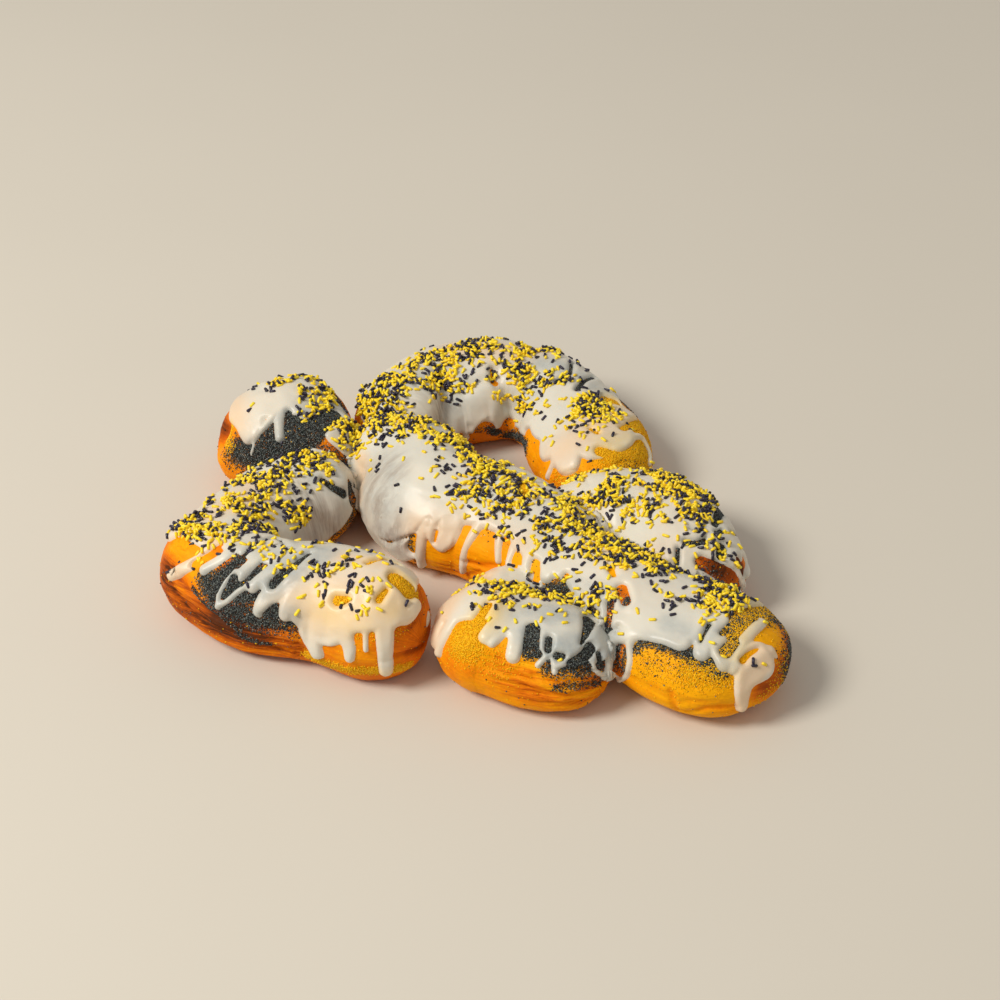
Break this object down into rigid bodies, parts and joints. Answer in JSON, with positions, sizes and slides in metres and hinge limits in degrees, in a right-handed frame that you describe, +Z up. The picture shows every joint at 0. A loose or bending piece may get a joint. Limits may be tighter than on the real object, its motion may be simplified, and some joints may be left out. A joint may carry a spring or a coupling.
{
  "type": "king cake",
  "caption": "Sweet bread shaped as a fleur-de-lis lying flat: bud, curled petals, feet and stem, under dripping white icing with coloured sugar and rod sprinkles.",
  "frame": {"origin": "centre of the outline, on the surface that the cake rests on", "axes": "+X from the bud to the end of the stem, +Y towards the curled petal with the closed eye, +Z up out of the iced side"},
  "size_m": [0.4693, 0.3811, 0.0775],
  "materials": {
    "crust": "baked golden brown crust, satin",
    "icing": "thin white sugar icing, glossy and slightly see-through",
    "sugar_dark": "dark sugar crystals, sparkling",
    "sugar_yellow": "yellow sugar crystals, sparkling",
    "sprinkles_dark": "waxy rods, satin",
    "sprinkles_yellow": "waxy rods, satin"
  },
  "bodies": {
    "root": {"bread": "crust", "icing": "icing"}
  },
  "joints": []
}
